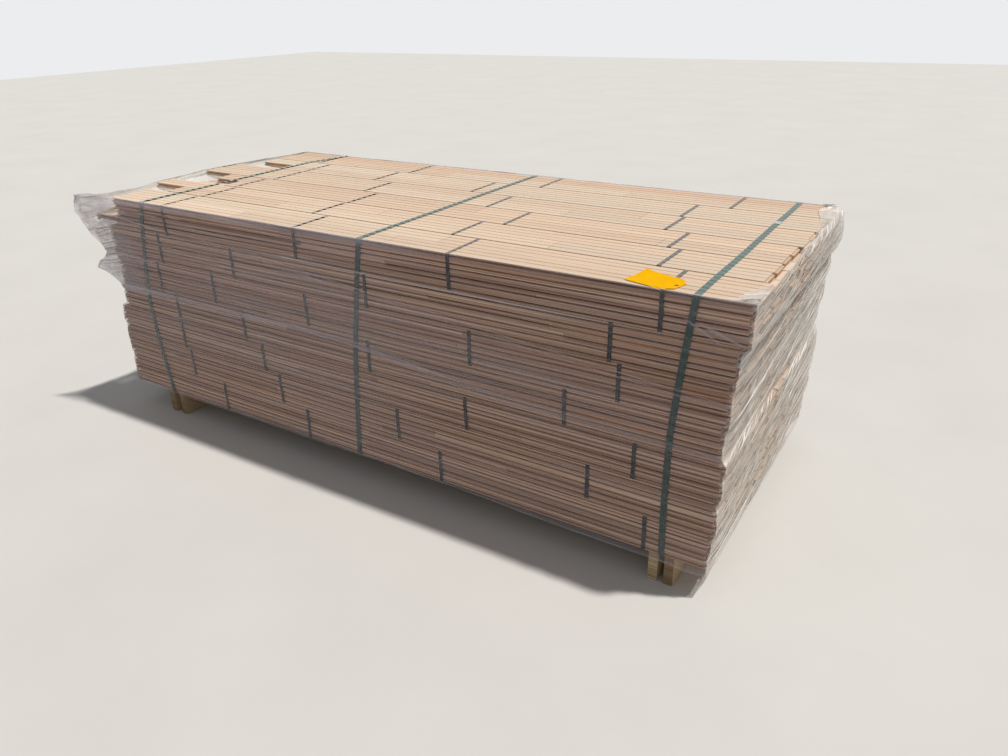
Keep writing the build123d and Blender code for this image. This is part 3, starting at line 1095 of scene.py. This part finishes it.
# %% Taut line round the board ends
film_corners = np.array([v.co for v in nodes["stretch_film"].data.vertices])
film_y = abs(film_corners[:, 1].min()) - 0.0004
film_foot = film_corners[:, 2].min()
rim = film_corners[:, 2].max() + 0.0008
level_pitch = 0.004
levels = np.arange(film_foot - 0.01, rim + 0.03, level_pitch)
crossings = np.linspace(-film_y, film_y, 91)
every_board = [box for boxes in bundle_boxes.values() for box in boxes]


def taut_across(points):
    """Of points given as (place across, reach), those that a tight film touches."""
    kept = []
    for point in sorted(points):
        while len(kept) > 1:
            (ay, ar), (by, br) = kept[-2:]
            if (by - ay) * (point[1] - ar) < (br - ar) * (point[0] - ay):
                break
            kept.pop()
        kept.append(point)
    return kept


def end_table(side):
    """How far the film stands out at one end, for each level and place across the stack."""
    lowest = min(low[2] for low, _ in every_board) + level_pitch
    highest = max(high[2] for _, high in every_board) - level_pitch
    table = []
    for level in levels:
        at = min(max(level, lowest), highest)
        near = [box for box in every_board if box[0][2] - 0.013 < at < box[1][2] + 0.013]
        ends = [(low[1], high[1], max(side * low[0], side * high[0])) for low, high in near]
        points = [(y, reach) for y0, y1, reach in ends for y in (y0, y1)]
        points.append((-film_y, max(reach for y0, _, reach in ends if y0 < stack_front + 0.01)))
        points.append((film_y, max(reach for _, y1, reach in ends if y1 > stack_back - 0.01)))
        touched = taut_across(points)
        table.append(np.interp(crossings, [y for y, _ in touched], [r for _, r in touched]))
    table = np.pad(np.array(table), ((2, 2), (0, 0)), mode="edge")
    blend = np.array([1, 2, 3, 2, 1]) / 9
    return sum(share * table[i:i + len(levels)] for i, share in enumerate(blend)) + 0.0008


right_table, left_table = end_table(1), end_table(-1)
print("film stands out", [round(float(t.max()), 3) for t in (left_table, right_table)])


def reach_at(table, z, y):
    """Value of a table between its levels and places."""
    i = np.clip((z - levels[0]) / level_pitch, 0, len(levels) - 1.001)
    j = np.clip((y / film_y + 1) / 2 * (len(crossings) - 1), 0, len(crossings) - 1.001)
    a, b = i.astype(int), j.astype(int)
    near = table[a, b] * (1 - i + a) + table[a + 1, b] * (i - a)
    far = table[a, b + 1] * (1 - i + a) + table[a + 1, b + 1] * (i - a)
    return near * (1 - j + b) + far * (j - b)


# %% Columns round the stack
# Sides are numbered in turn: the front, the right end, the back and the left end
side_lengths = np.array([2.6, 1.09, 2.6, 1.09])
side_starts = np.array([0, 2.6, 3.69, 6.29])
whole_way = 7.38
side_columns = (230, 110, 90, 120)
crowding = (0.75, 0.5, 0.4, 0.6)


def ring_columns():
    """Side number and share along it for every column, closer together near the corners."""
    sides, shares = [], []
    for side, count in enumerate(side_columns):
        even = (np.arange(count) + 0.5) / count
        sides += [side] * count
        shares += list(even - crowding[side] * np.sin(2 * np.pi * even) / (2 * np.pi))
    return np.array(sides), np.array(shares)


def run_of(side, share):
    """Way round the stack from the front left corner, in metres."""
    return side_starts[side] + share * side_lengths[side]


def by_side(side, front, right, back, left):
    """The one of four values that belongs to each place's side."""
    return np.select([side == 0, side == 1, side == 2], [front, right, back], left)


def wall_place(side, share, z, push):
    """Place of the film at a column and level; push is outward, and negative on the top."""
    y = by_side(side, -film_y + 0 * share, film_y * (2 * share - 1), film_y + 0 * share,
                film_y * (1 - 2 * share))
    right, left = reach_at(right_table, z, y), -reach_at(left_table, z, y)
    x = by_side(side, left + (right - left) * share, right, right + (left - right) * share, left)
    return (x + by_side(side, 0.0, 1.0, 0.0, -1.0) * push,
            y + by_side(side, -1.0, 0.0, 1.0, 0.0) * push)


print(sum(side_columns), "columns in", whole_way, "m round the stack")

# %% [markdown]
# ## How clear film looks
# Clear film is seen by its gloss and by the places where it turns milky. A glass shader would
# bend the light of three windings for little gain. So the film is glossy plastic, and its alpha
# is how cloudy it is: what the grid keeps, and threads and strings of pulled film that noise
# draws far longer than wide, along the slope in which the film was wound.


# %% Film material
def sloped(tree, place, rise_x, rise_y):
    """Place with its height taken from a slope, so that stretched noise runs along it."""
    x, y, z = xyz(tree, place)
    height = plus(tree, z, times(tree, x, rise_x))
    height = plus(tree, height, times(tree, y, rise_y))
    return add(tree, "CombineXYZ", {0: x, 1: y, 2: height}).outputs[0]


film_material, tree = start_material("clear_film")
place = object_place(tree)
along, steep = sloped(tree, place, 0.05, -0.10), sloped(tree, place, 0.0, -0.26)
threads = noise(tree, along, (1.4, 1.4, 150.0), 4.0, 0.65, 0.2)
creases = noise(tree, along, (3.0, 3.0, 46.0), 3.0, 0.6, 0.8)
strings = larger(
    tree, ramp(tree, noise(tree, along, (0.9, 0.9, 210.0), 2.0, 0.6, 0.1), 0.55, 0.60),
    ramp(tree, noise(tree, steep, (1.1, 1.1, 150.0), 2.0, 0.6, 0.1), 0.58, 0.63))
facing = normal_xyz(tree)
endways = ramp(tree, maths(tree, "ABSOLUTE", facing[0]), 0.4, 0.8)
haze = mesh_value(tree, "haze")
lines = plus(tree, ramp(tree, threads, 0.56, 0.72), ramp(tree, creases, 0.56, 0.72, 0.0, 0.9))
cloudy = plus(tree, haze, times(tree, lines, plus(tree, times(tree, haze, 0.75), 0.05)))
cloudy = plus(tree, cloudy, times(tree, strings, ramp(tree, endways, 0.0, 1.0, 0.05, 0.85)), True)
thready = ramp(tree, threads, 0.3, 0.7)
# Painted light and shade: film that faces the ends or up gets a warm sunlit cream, and film that
# faces front or back gets a cool shaded lilac.
painted_sunlit_film = mix(tree, larger(tree, thready, strings), tone(238, 228, 216), tone(255, 250, 243))
painted_shaded_film = mix(tree, thready, tone(222, 212, 222), tone(244, 236, 244))
painted_sun_side = larger(tree, endways, ramp(tree, facing[2], 0.5, 0.8))
finish_material(tree, {
    "Base Color": mix(tree, painted_sun_side, painted_shaded_film, painted_sunlit_film),
    "Roughness": ramp(tree, creases, 0.3, 0.7, 0.16, 0.3),
    "Specular IOR Level": 0.6,
    "Alpha": cloudy,
    "Normal": bump(tree, strings, ramp(tree, painted_sun_side, 0.0, 1.0, 0.1, 0.6), 0.0036, bump(
        tree, plus(tree, threads, creases), 0.5, 0.0022)),
})
print("film material", film_material.name)

# %% [markdown]
# ## Where the film is pulled
# A few creases run from the straps and the corner across the front, each board end pricks a
# bright point into the film at the right corner, and under the top edge the film bridges a
# hollow. Each of these is a function of the place, so the shape and the cloudiness of a winding
# can both ask it.

# %% Creases on the front
# Each crease is a line from one (x, z) to another, with how white it is. The white is partly
# folded film and partly a painted glint of light on the ridge.
front_span = 2.64
creases_front = [((1.145, 0.855), (1.254, 0.798), 0.55), ((1.191, 0.847), (1.318, 0.802), 0.65),
                 ((-1.254, 0.854), (-0.91, 0.819), 0.6), ((-1.154, 0.875), (-1.037, 0.873), 0.4),
                 ((-1.015, 0.884), (-0.897, 0.878), 0.35), ((-0.92, 0.858), (-0.52, 0.842), 0.3),
                 ((-1.2, 0.79), (-0.8, 0.742), 0.3), ((-0.8, 0.742), (-0.3, 0.705), 0.2)]


def creased(side, share, z):
    """How strongly each place of the front takes part in a crease, from 0 to 1."""
    x = front_span * (share - 0.5)
    strongest = np.zeros(np.shape(z + share))
    for (x0, z0), (x1, z1), gain in creases_front:
        part = np.clip(((x - x0) * (x1 - x0) + (z - z0) * (z1 - z0)) / (
            (x1 - x0) ** 2 + (z1 - z0) ** 2), 0, 1)
        away = np.hypot(x - x0 - part * (x1 - x0), z - z0 - part * (z1 - z0))
        taper = np.sqrt(np.clip(4 * part * (1 - part) + 0.15, 0, 1))
        strongest = np.maximum(strongest, gain * taper * np.exp(-(away / 0.0026) ** 2))
    return np.where(side == 0, strongest, 0.0)


def corner_dots(side, share, z):
    """Bright points where the film is pricked out by each board end at the front right corner."""
    from_corner = by_side(side, (1 - share) * side_lengths[0], share * side_lengths[1], 9.0, 9.0)
    draw = np.random.default_rng(19)
    ends = [(low[2] + high[2]) / 2 for low, high in every_board if low[1] < stack_front + 0.01
            and high[0] > 1.2]
    points = sum(draw.uniform(0.15, 1.0) * np.exp(-((z - end) / 0.0046) ** 2) for end in ends)
    return points * np.exp(-(from_corner / 0.010) ** 2)


def bridged(side, run):
    """How far the film bridges the hollow under the front's top edge, from 0 to 1."""
    return np.where(side == 0, np.interp(run, [0, 0.2, 1.4, 1.8], [0.6, 1, 0.8, 0.1]), 0.0)


print(len(creases_front), "creases on the front")

# %% [markdown]
# ## One winding
# A winding is a grid of columns round the stack and rows up it, an open skin of one layer. Each
# row follows the taut line at its level, pushed out by pleats. Rows above the rim fold inward on
# the top. The upper winding also ends in a gathered tail, pulled out at the front left corner.

# %% Gathered tail
tail_tip = (-1.408, -0.584)
tail_heights = (0.53, 0.56, 0.59, 0.62, 0.645, 0.69, 0.73, 0.77, 0.80)
tail_shares = (0.0, 0.12, 0.42, 0.9, 0.78, 0.42, 0.56, 0.85, 1.0)


def gathered_tail(x, y, z, haze, climb, side, run, seed):
    """The same skin with its front left corner drawn out to a crumpled tail."""
    from_corner = by_side(side, run, 9.0, 9.0, run - whole_way)
    half_width = np.interp(z, [0.7, 0.78], [0.05, 0.075])
    lobe = np.exp(-(np.abs(from_corner + 0.01) / half_width) ** 1.6)
    lobe = lobe * np.interp(climb, tail_heights, tail_shares)
    lobe = lobe * (0.72 + 0.28 * smooth_noise(z * 24, from_corner * 8, seed + 4))
    crumple = [smooth_noise(from_corner * 46, z * 34, seed + k) - 0.5 for k in (5, 6, 7)]
    sparkle = ridges(from_corner * 42, (z + 0.020 * lobe * crumple[2]) * 30, seed + 8, 5.0)
    return (x + (tail_tip[0] - x) * lobe + 0.020 * lobe * crumple[0],
            y + (tail_tip[1] - y) * lobe + 0.016 * lobe * crumple[1],
            z + 0.020 * lobe * crumple[2],
            haze * (1 - lobe) + lobe * (0.16 + 0.7 * sparkle))


# %% Mesh of a grid
def grid_mesh(name, x, y, z, haze):
    """Closed ring of quads through a grid of places, with the cloudiness of each point."""
    index = np.arange(x.size).reshape(x.shape)
    a, b = index[:-1], index[1:]
    quads = np.stack([a, np.roll(a, -1, 1), np.roll(b, -1, 1), b], -1).reshape(-1, 4)
    mesh = bpy.data.meshes.new(name)
    mesh.from_pydata(np.stack([x, y, z], -1).reshape(-1, 3).tolist(), [], quads.tolist())
    mesh.attributes.new("haze", "FLOAT", "POINT").data.foreach_set(
        "value", np.clip(haze, 0.0, 0.92).astype(np.float32).ravel())
    mesh.shade_smooth()
    mesh.materials.append(film_material)
    return mesh


# %% One winding
def film_skin(name, low_edge, high_edge, rows_count, gap, cloud, seed, tailed=False):
    """Open skin between two wavy edges that are given as functions of (side, share)."""
    side, share = ring_columns()
    low, high = low_edge(side, share), high_edge(side, share)
    climb = low + (high - low) * np.linspace(0, 1, rows_count)[:, None]
    side, share = np.broadcast_to(side, climb.shape), np.broadcast_to(share, climb.shape)
    run = run_of(side, share)
    from_middle = (share - 0.5) * side_lengths[side]
    level = climb + by_side(side, 0.06, -0.11, 0.05, 0.06) * from_middle
    amount = by_side(side, 0.0010, 0.0046, 0.0030, 0.0060)
    pleat = ridges(run * 1.3, level * 34, seed, 2.5) * 0.6
    pleat = pleat + ridges(run * 2.2, level * 75, seed + 1, 3.0) * 0.4
    out = gap + amount * pleat
    corner = np.minimum(share, 1 - share) * side_lengths[side]
    out = out * np.clip(corner / by_side(side, 0.02, 0.07, 0.02, 0.02), 0.2, 1)
    out = out + 0.003 * creased(side, share, climb)
    if tailed:
        bridging = bridged(side, run) * (0.5 + 0.5 * smooth_noise(run * 4, run * 0, seed + 9))
        out = out + 0.007 * bridging * np.interp(rim - climb, [0, 0.017, 0.022, 0.036],
                                                 [0, 0.95, 0.95, 0])

    over = np.clip(climb - rim, 0, None)
    level = level + 0.5 * over
    standing = np.where(side == 1, np.exp(-((share - 0.965) / 0.025) ** 2), 0.0)
    z = np.minimum(climb, rim) + 0.2 * over * standing
    z = z + np.where(over > 0, 0.0004 + 0.0026 * ridges(run * 7, climb * 30, seed + 3, 1.5), 0)
    x, y = wall_place(side, share, z, out - over * (1 - 0.8 * standing))
    haze = cloud(side, share, climb, run, level, pleat)

    if tailed:
        x, y, z, haze = gathered_tail(x, y, z, haze, climb, side, run, seed)
    mesh = grid_mesh(name, x, y, z, haze)
    piece = place_piece(name, mesh, ["stretch_film"])
    print(name, len(mesh.polygons) * 2, "triangles")
    return piece


# %% [markdown]
# ## Hems
# The roll is carried up and down while the film is wound, so no hem is level. Each is a line
# through a few places that were read off the front and the right end, and wavers by a few
# millimetres. A straight hem would be simpler, and would show at once that nobody wound it.


# %% Edges of the windings
def edge(points, size, seed):
    """Hem through (way round, height) points, of which the last meets the first."""
    places, heights = zip(*points)

    def height(side, share):
        run = run_of(side, share)
        return np.interp(run, places, heights) + size * (2 * smooth_noise(
            run * 3.0, run * 0 + 0.5, seed) - 1)

    return height


lower_foot = edge([(0, 0.1), (1.7, 0.099), (2.1, 0.084), (2.45, 0.082), (2.54, 0.074),
                   (2.66, 0.082), (3.69, 0.088), (5.0, 0.096), (7.38, 0.1)], 0.003, 4)
lower_head = edge([(0, 0.558), (1.25, 0.563), (1.75, 0.504), (2.3, 0.485), (2.6, 0.478),
                   (3.69, 0.585), (6.29, 0.57), (7.38, 0.558)], 0.003, 5)
upper_foot = edge([(0, 0.535), (1.25, 0.541), (1.75, 0.484), (2.3, 0.465), (2.6, 0.458),
                   (3.69, 0.560), (6.29, 0.545), (7.38, 0.535)], 0.003, 6)
turn_head = edge([(0, 0.85), (0.8, 0.806), (1.3, 0.754), (2.05, 0.686), (2.6, 0.64),
                  (3.69, 0.75), (6.29, 0.87), (7.38, 0.85)], 0.002, 7)
turn_foot = edge([(0, 0.562), (1.25, 0.567), (1.75, 0.508), (2.3, 0.489), (2.6, 0.482),
                  (3.69, 0.589), (6.29, 0.574), (7.38, 0.562)], 0.003, 8)
fold_over = edge([(0, 0.002), (2.50, 0.003), (2.56, 0.03), (2.6, 0.052), (2.68, 0.048),
                  (2.77, 0.016), (2.85, 0.008), (3.3, 0.008), (3.42, 0.02), (3.58, 0.058),
                  (3.66, 0.074), (3.69, 0.07), (3.71, 0.03), (3.76, 0.006), (6.29, 0.002),
                  (7.2, 0.0), (7.38, 0.004)], 0.002, 9)


def upper_head(side, share):
    """Hem of the film that is folded over on the top, ragged at the right end."""
    ragged = np.where(side == 1, 0.006, 0.0) * (smooth_noise(share * 6, share * 0, 10) - 0.5)
    return rim + fold_over(side, share) + ragged


print("the film folds over at a height of", round(float(rim), 3), "m")

# %% [markdown]
# ## How cloudy each winding is
# All windings share patches, pleats and creases. Each adds its own hems as thin lines. Where
# the lower one lies under the upper it is milky, and the fold on the top is whiter still.


# %% What all windings share
def cloud_common(side, share, z, run, level, pleat):
    denser = np.interp(share, [0, 0.5, 1], [0.24, 0.16, 0.38])
    base = by_side(side, np.interp(run, [0, 1.3, 1.8], [0.12, 0.11, 0.04]), denser, 0.2, 0.26)
    patches = smooth_noise(run * 1.1, level * 5, 11) - 0.5
    base = base + by_side(side, 0.15, 0.14, 0.2, 0.2) * patches
    y = (share - 0.5) * side_lengths[1]
    # A painted glare of light on the film of the right end; the bare patch is only clearer film.
    painted_glare = 0.65 * np.exp(-((y + 0.33 + 0.43 * (z - 0.56)) / 0.02) ** 2 - ((z - 0.56) / 0.06) ** 4)
    bare = 0.26 * np.exp(-((y + 0.05) / 0.16) ** 2 - ((z - 0.83 + 0.5 * y) / 0.05) ** 2)
    base = base + np.where(side == 1, painted_glare - bare, 0.0)
    at_left = np.where(side == 0, np.exp(-(run / 0.14) ** 2), 0.0)
    at_left = at_left * np.clip((z - 0.53) / 0.02, 0, 1)
    # The creases add their white, which is partly a painted glint of light on the ridges.
    base = base + 0.3 * at_left + creased(side, share, z) + corner_dots(side, share, z)
    return base + by_side(side, 0.08, 0.36, 0.2, 0.3) * pleat


def edge_line(z, at, width, gain):
    """White line of a hem or a crease at a height."""
    return gain * np.exp(-((z - at) / width) ** 2)


# %% The lower winding
def cloud_lower(side, share, z, run, level, pleat):
    haze = cloud_common(side, share, z, run, level, pleat)
    fading = by_side(side, 1 - 0.6 * share + np.exp(-(run / 0.22) ** 2), -0.5, 0.5, 0.5)
    band = 0.24 * (z > upper_foot(side, share)) * fading
    band = band * (0.25 + smooth_noise(run * 5, level * 90, 12))
    haze = haze + band + edge_line(z, lower_head(side, share), 0.002, 0.3)
    return haze + edge_line(z, lower_foot(side, share), 0.006, 0.2)


# %% The upper winding
def cloud_upper(side, share, z, run, level, pleat):
    haze = cloud_common(side, share, z, run, level, pleat)
    span = np.where(side == 0, np.exp(-((run - 1.5) / 0.65) ** 4), 0.0)
    haze = haze + span * edge_line(z, 0.809 - 0.008 * (run - 1.2), 0.0028, 0.6)
    haze = haze + edge_line(z, rim, 0.002, 0.25)
    # Under the top edge, where the film bridges the hollow, a painted highlight stands for its
    # bend catching the light.
    under_rim = np.interp(rim - z, [0, 0.004, 0.016, 0.028], [0.5, 1, 0.9, 0])
    haze = haze + 0.24 * bridged(side, run) * under_rim
    folded = np.interp(share, [0, 0.06, 0.15, 0.7, 0.85, 1], [0.3, 0.4, 0.16, 0.2, 0.5, 0.6])
    folded = by_side(side, 0.12 + 0.25 * (share > 0.97), folded, 0.5 * (share < 0.05) + 0.1, 0.1)
    haze = np.where(z > rim + 0.001, folded + 0.25 * pleat, haze)
    haze = haze + edge_line(z, upper_head(side, share), 0.002, 0.15)
    return haze + edge_line(z, upper_foot(side, share), 0.003, 0.25)


# %% The last turn
def cloud_turn(side, share, z, run, level, pleat):
    haze = 0.5 * cloud_common(side, share, z, run, level, pleat)
    hem = np.where(side == 0, np.clip((run - 0.5) / 0.4, 0.3, 1), 0.6)
    haze = haze + hem * edge_line(z, turn_head(side, share), 0.0022, 0.6)
    haze = haze + hem * edge_line(z, turn_head(side, share) - 0.016, 0.0016, 0.35)
    return haze + edge_line(z, turn_foot(side, share), 0.004, 0.15)


# %% Build the windings
film_skin("film_lower", lower_foot, lower_head, 130, 0.0004, cloud_lower, 21)
film_skin("film_upper", upper_foot, upper_head, 176, 0.0010, cloud_upper, 31, True)
film_skin("film_last_turn", turn_foot, turn_head, 90, 0.0018, cloud_turn, 41)

# %% [markdown]
# ## Floor and light
# The stack stands on a pale floor. One soft lamp high behind its right end lights the top and
# that end, as low daylight does, and the pale surroundings light the rest. The world is
# brighter to the camera and to reflections than to the wood, so the white behind the stack costs
# the wood no colour.


# %% Floor
def seen_directly(tree):
    """1 for what the camera sees, also by reflection or through the film, and 0 for light."""
    rays = add(tree, "LightPath").outputs
    return larger(tree, rays["Is Camera Ray"], larger(
        tree, rays["Is Glossy Ray"], rays["Is Transmission Ray"]))


floor_size = 40.0
floor_material, tree = start_material("pale_floor")
floor_patches = noise(tree, object_place(tree), (1.5, 1.5, 1.5), 4.0)
floor_shown = mix(tree, ramp(tree, floor_patches, 0.3, 0.7), tone(216, 214, 210),
                  tone(221, 219, 215))
finish_material(tree, {
    "Base Color": mix(tree, seen_directly(tree), tone(150, 146, 140), floor_shown),
    "Roughness": 0.85,
})
floor_mesh = bpy.data.meshes.new("floor")
half = floor_size / 2
floor_mesh.from_pydata([(-half, -half, 0), (half, -half, 0), (half, half, 0), (-half, half, 0)],
                       [], [(0, 1, 2, 3)])
floor_mesh.materials.append(floor_material)
floor = bpy.data.objects.new("floor", floor_mesh)
bpy.context.scene.collection.objects.link(floor)
print("floor", floor_size, "m")

# %% World and lamp
world = bpy.data.worlds.new("studio")
bpy.context.scene.world = world
world.use_nodes = True
tree = world.node_tree
tree.nodes.clear()
light = add(tree, "Background", {"Color": (0.93, 0.95, 1.0, 1.0), "Strength": 0.24})
backdrop = add(tree, "Background", {"Color": (0.93, 0.94, 0.96, 1.0), "Strength": 0.9})
mixed = add(tree, "MixShader", {
    0: seen_directly(tree), 1: light.outputs[0], 2: backdrop.outputs[0]})
add(tree, "OutputWorld", {"Surface": mixed.outputs[0]})

lamp = bpy.data.objects.new("high_lamp", bpy.data.lights.new("high_lamp", "SUN"))
bpy.context.scene.collection.objects.link(lamp)
lamp.data.energy = 2.75
lamp.data.angle = math.radians(2.5)
lamp.data.color = (1.0, 0.97, 0.92)
lamp.rotation_mode = "QUATERNION"
lamp.rotation_quaternion = Vector((0.36, 0.15, 1.0)).to_track_quat("Z", "Y")
bpy.context.scene.view_settings.view_transform = "Standard"
print("lamp and world set")
